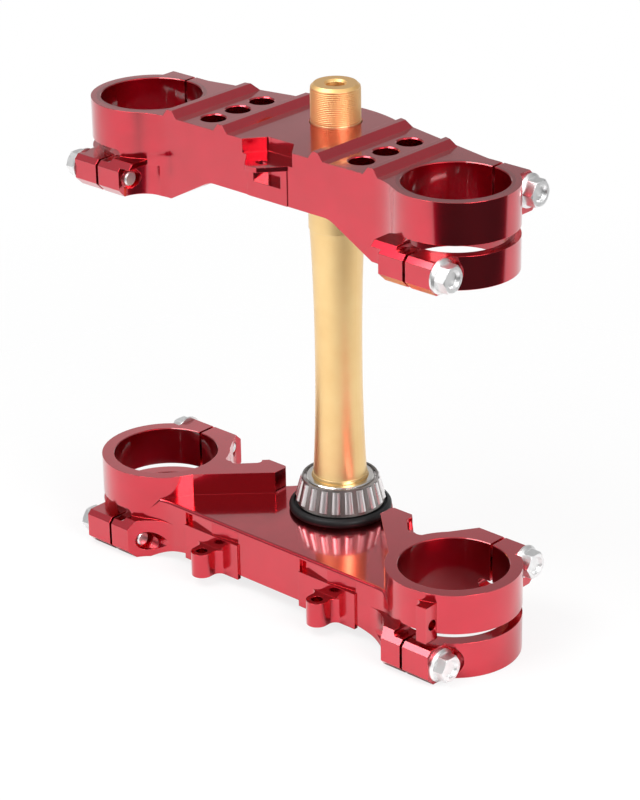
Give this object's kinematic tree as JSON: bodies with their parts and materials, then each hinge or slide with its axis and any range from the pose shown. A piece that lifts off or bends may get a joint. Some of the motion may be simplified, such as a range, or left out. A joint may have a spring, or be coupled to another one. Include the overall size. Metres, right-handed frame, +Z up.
{
  "type": "motorcycle triple clamp",
  "caption": "Triple clamp set with split fork rings, a tall threaded steering stem and a tapered roller bearing at its foot.",
  "frame": {"origin": "steering axis at the height of the bearing seat, the floor of the bottom clamp", "axes": "+Z up along the steering axis, +X to the rider's left, -Y to the front"},
  "size_m": [0.2818, 0.1018, 0.2776],
  "materials": {
    "clamp_red": "milled and anodised, glossy",
    "stem_gold": "turned and anodised, satin",
    "bearing_steel": "ground",
    "cage_steel": "pressed sheet, satin",
    "roller_steel": "ground and bright",
    "bolt_steel": "zinc plated",
    "seal_rubber": "moulded, matt"
  },
  "bodies": {
    "clamp_set": {"top_clamp": "clamp_red", "bottom_clamp": "clamp_red", "steering_stem": "stem_gold", "bearing_inner_ring": "bearing_steel", "dust_seal": "seal_rubber", "pinch_bolt_top_front_left": "bolt_steel", "pinch_bolt_top_front_right": "bolt_steel", "pinch_bolt_top_back_left": "bolt_steel", "pinch_bolt_top_back_right": "bolt_steel", "pinch_bolt_bottom_front_left": "bolt_steel", "pinch_bolt_bottom_front_right": "bolt_steel", "pinch_bolt_bottom_back_left": "bolt_steel", "pinch_bolt_bottom_back_right": "bolt_steel"},
    "cage": {"bearing_cage": "cage_steel"},
    "roller_01": {"bearing_roller_01": "roller_steel"},
    "roller_02": {"bearing_roller_02": "roller_steel"},
    "roller_03": {"bearing_roller_03": "roller_steel"},
    "roller_04": {"bearing_roller_04": "roller_steel"},
    "roller_05": {"bearing_roller_05": "roller_steel"},
    "roller_06": {"bearing_roller_06": "roller_steel"},
    "roller_07": {"bearing_roller_07": "roller_steel"},
    "roller_08": {"bearing_roller_08": "roller_steel"},
    "roller_09": {"bearing_roller_09": "roller_steel"},
    "roller_10": {"bearing_roller_10": "roller_steel"},
    "roller_11": {"bearing_roller_11": "roller_steel"},
    "roller_12": {"bearing_roller_12": "roller_steel"},
    "roller_13": {"bearing_roller_13": "roller_steel"},
    "roller_14": {"bearing_roller_14": "roller_steel"},
    "roller_15": {"bearing_roller_15": "roller_steel"},
    "roller_16": {"bearing_roller_16": "roller_steel"},
    "roller_17": {"bearing_roller_17": "roller_steel"},
    "roller_18": {"bearing_roller_18": "roller_steel"},
    "roller_19": {"bearing_roller_19": "roller_steel"},
    "roller_20": {"bearing_roller_20": "roller_steel"}
  },
  "joints": [
    {"name": "cage_spin", "type": "hinge", "parent": "clamp_set", "child": "cage", "pos_m": [0, 0, 0.0122], "axis": [0, 0, 1], "continuous": true},
    {"name": "roller_spin_01", "type": "hinge", "parent": "cage", "child": "roller_01", "pos_m": [0.0205, 0, 0.0122], "axis": [-0.2328, 0, 0.9725], "continuous": true},
    {"name": "roller_spin_02", "type": "hinge", "parent": "cage", "child": "roller_02", "pos_m": [0.0195, 0.00633, 0.0122], "axis": [-0.2214, -0.0719, 0.9725], "continuous": true},
    {"name": "roller_spin_03", "type": "hinge", "parent": "cage", "child": "roller_03", "pos_m": [0.01658, 0.01205, 0.0122], "axis": [-0.1883, -0.1368, 0.9725], "continuous": true},
    {"name": "roller_spin_04", "type": "hinge", "parent": "cage", "child": "roller_04", "pos_m": [0.01205, 0.01658, 0.0122], "axis": [-0.1368, -0.1883, 0.9725], "continuous": true},
    {"name": "roller_spin_05", "type": "hinge", "parent": "cage", "child": "roller_05", "pos_m": [0.00633, 0.0195, 0.0122], "axis": [-0.0719, -0.2214, 0.9725], "continuous": true},
    {"name": "roller_spin_06", "type": "hinge", "parent": "cage", "child": "roller_06", "pos_m": [0, 0.0205, 0.0122], "axis": [0, -0.2328, 0.9725], "continuous": true},
    {"name": "roller_spin_07", "type": "hinge", "parent": "cage", "child": "roller_07", "pos_m": [-0.00633, 0.0195, 0.0122], "axis": [0.0719, -0.2214, 0.9725], "continuous": true},
    {"name": "roller_spin_08", "type": "hinge", "parent": "cage", "child": "roller_08", "pos_m": [-0.01205, 0.01658, 0.0122], "axis": [0.1368, -0.1883, 0.9725], "continuous": true},
    {"name": "roller_spin_09", "type": "hinge", "parent": "cage", "child": "roller_09", "pos_m": [-0.01658, 0.01205, 0.0122], "axis": [0.1883, -0.1368, 0.9725], "continuous": true},
    {"name": "roller_spin_10", "type": "hinge", "parent": "cage", "child": "roller_10", "pos_m": [-0.0195, 0.00633, 0.0122], "axis": [0.2214, -0.0719, 0.9725], "continuous": true},
    {"name": "roller_spin_11", "type": "hinge", "parent": "cage", "child": "roller_11", "pos_m": [-0.0205, 0, 0.0122], "axis": [0.2328, 0, 0.9725], "continuous": true},
    {"name": "roller_spin_12", "type": "hinge", "parent": "cage", "child": "roller_12", "pos_m": [-0.0195, -0.00633, 0.0122], "axis": [0.2214, 0.0719, 0.9725], "continuous": true},
    {"name": "roller_spin_13", "type": "hinge", "parent": "cage", "child": "roller_13", "pos_m": [-0.01658, -0.01205, 0.0122], "axis": [0.1883, 0.1368, 0.9725], "continuous": true},
    {"name": "roller_spin_14", "type": "hinge", "parent": "cage", "child": "roller_14", "pos_m": [-0.01205, -0.01658, 0.0122], "axis": [0.1368, 0.1883, 0.9725], "continuous": true},
    {"name": "roller_spin_15", "type": "hinge", "parent": "cage", "child": "roller_15", "pos_m": [-0.00633, -0.0195, 0.0122], "axis": [0.0719, 0.2214, 0.9725], "continuous": true},
    {"name": "roller_spin_16", "type": "hinge", "parent": "cage", "child": "roller_16", "pos_m": [0, -0.0205, 0.0122], "axis": [0, 0.2328, 0.9725], "continuous": true},
    {"name": "roller_spin_17", "type": "hinge", "parent": "cage", "child": "roller_17", "pos_m": [0.00633, -0.0195, 0.0122], "axis": [-0.0719, 0.2214, 0.9725], "continuous": true},
    {"name": "roller_spin_18", "type": "hinge", "parent": "cage", "child": "roller_18", "pos_m": [0.01205, -0.01658, 0.0122], "axis": [-0.1368, 0.1883, 0.9725], "continuous": true},
    {"name": "roller_spin_19", "type": "hinge", "parent": "cage", "child": "roller_19", "pos_m": [0.01658, -0.01205, 0.0122], "axis": [-0.1883, 0.1368, 0.9725], "continuous": true},
    {"name": "roller_spin_20", "type": "hinge", "parent": "cage", "child": "roller_20", "pos_m": [0.0195, -0.00633, 0.0122], "axis": [-0.2214, 0.0719, 0.9725], "continuous": true}
  ],
  "couplings": [
    {"joint": "roller_spin_01", "follows": "cage_spin", "ratio": 6.1951},
    {"joint": "roller_spin_02", "follows": "cage_spin", "ratio": 6.1951},
    {"joint": "roller_spin_03", "follows": "cage_spin", "ratio": 6.1951},
    {"joint": "roller_spin_04", "follows": "cage_spin", "ratio": 6.1951},
    {"joint": "roller_spin_05", "follows": "cage_spin", "ratio": 6.1951},
    {"joint": "roller_spin_06", "follows": "cage_spin", "ratio": 6.1951},
    {"joint": "roller_spin_07", "follows": "cage_spin", "ratio": 6.1951},
    {"joint": "roller_spin_08", "follows": "cage_spin", "ratio": 6.1951},
    {"joint": "roller_spin_09", "follows": "cage_spin", "ratio": 6.1951},
    {"joint": "roller_spin_10", "follows": "cage_spin", "ratio": 6.1951},
    {"joint": "roller_spin_11", "follows": "cage_spin", "ratio": 6.1951},
    {"joint": "roller_spin_12", "follows": "cage_spin", "ratio": 6.1951},
    {"joint": "roller_spin_13", "follows": "cage_spin", "ratio": 6.1951},
    {"joint": "roller_spin_14", "follows": "cage_spin", "ratio": 6.1951},
    {"joint": "roller_spin_15", "follows": "cage_spin", "ratio": 6.1951},
    {"joint": "roller_spin_16", "follows": "cage_spin", "ratio": 6.1951},
    {"joint": "roller_spin_17", "follows": "cage_spin", "ratio": 6.1951},
    {"joint": "roller_spin_18", "follows": "cage_spin", "ratio": 6.1951},
    {"joint": "roller_spin_19", "follows": "cage_spin", "ratio": 6.1951},
    {"joint": "roller_spin_20", "follows": "cage_spin", "ratio": 6.1951}
  ]
}
